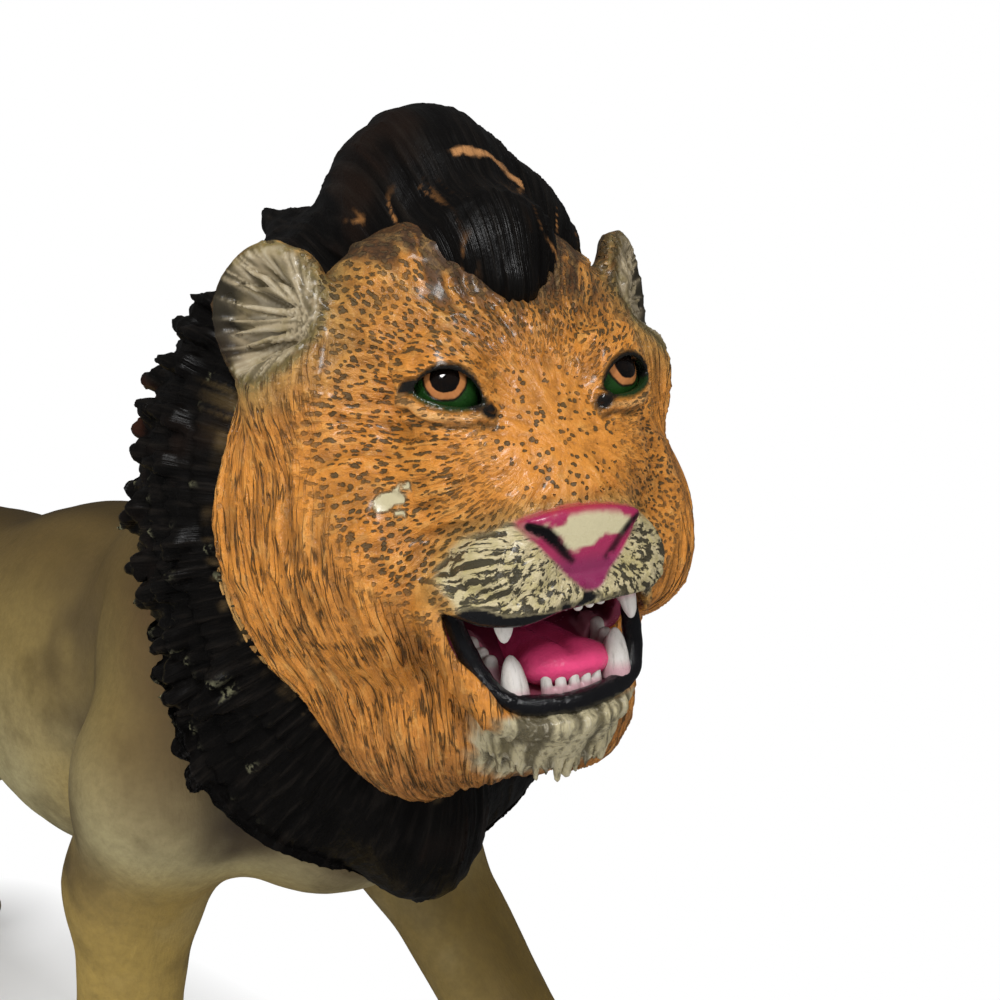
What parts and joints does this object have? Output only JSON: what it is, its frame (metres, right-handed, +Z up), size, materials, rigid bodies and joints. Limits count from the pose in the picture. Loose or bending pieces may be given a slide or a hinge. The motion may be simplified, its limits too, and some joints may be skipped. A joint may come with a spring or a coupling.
{
  "type": "toy lion",
  "caption": "Hollow soft-vinyl play figure of a roaring male lion walking, with a head that turns on a neck ring and a tail that turns in the rump.",
  "frame": {"origin": "centre of the bounding box footprint, on the ground plane under the paws", "axes": "+X towards the head, +Y to the lion's left, +Z up"},
  "size_m": [0.327, 0.0914, 0.2254],
  "materials": {
    "body_vinyl": "airbrushed soft vinyl, satin",
    "stuffing": "loose polyester fibre",
    "leg_vinyl": "airbrushed soft vinyl, satin",
    "mane_vinyl": "black painted soft vinyl, semi-gloss, worn at the lock tips",
    "face_vinyl": "orange painted soft vinyl with a dark wash in the sculpted fur",
    "mouth_vinyl": "glossy maroon and pink paint, black lips",
    "tongue_vinyl": "glossy magenta paint",
    "eye_vinyl": "glossy painted dome: black pupil, orange ring, dark green surround",
    "tooth_vinyl": "off-white paint, worn grey"
  },
  "bodies": {
    "body": {"torso_shell": "body_vinyl", "fibre_fill": "stuffing", "leg_front_right": "leg_vinyl", "leg_front_left": "leg_vinyl", "leg_rear_right": "leg_vinyl", "leg_rear_left": "leg_vinyl"},
    "head": {"mane_shell": "mane_vinyl", "face_shell": "face_vinyl", "mouth_liner": "mouth_vinyl", "tongue": "tongue_vinyl", "eye_right": "eye_vinyl", "eye_left": "eye_vinyl", "upper_incisors": "tooth_vinyl", "lower_incisors": "tooth_vinyl", "upper_canine_right": "tooth_vinyl", "lower_canine_right": "tooth_vinyl", "upper_premolars_right": "tooth_vinyl", "lower_premolars_right": "tooth_vinyl", "upper_canine_left": "tooth_vinyl", "lower_canine_left": "tooth_vinyl", "upper_premolars_left": "tooth_vinyl", "lower_premolars_left": "tooth_vinyl"},
    "tail": {"tail": "body_vinyl"}
  },
  "joints": [
    {"name": "head_turn", "type": "hinge", "parent": "body", "child": "head", "pos_m": [0.09111, 0.00011, 0.15629], "axis": [0.8747, -0.3615, 0.3227], "range_deg": [-30, 30]},
    {"name": "tail_turn", "type": "hinge", "parent": "body", "child": "tail", "pos_m": [-0.10729, 0.00059, 0.129], "axis": [0.8682, 0, 0.4961], "range_deg": [-35, 35]}
  ]
}
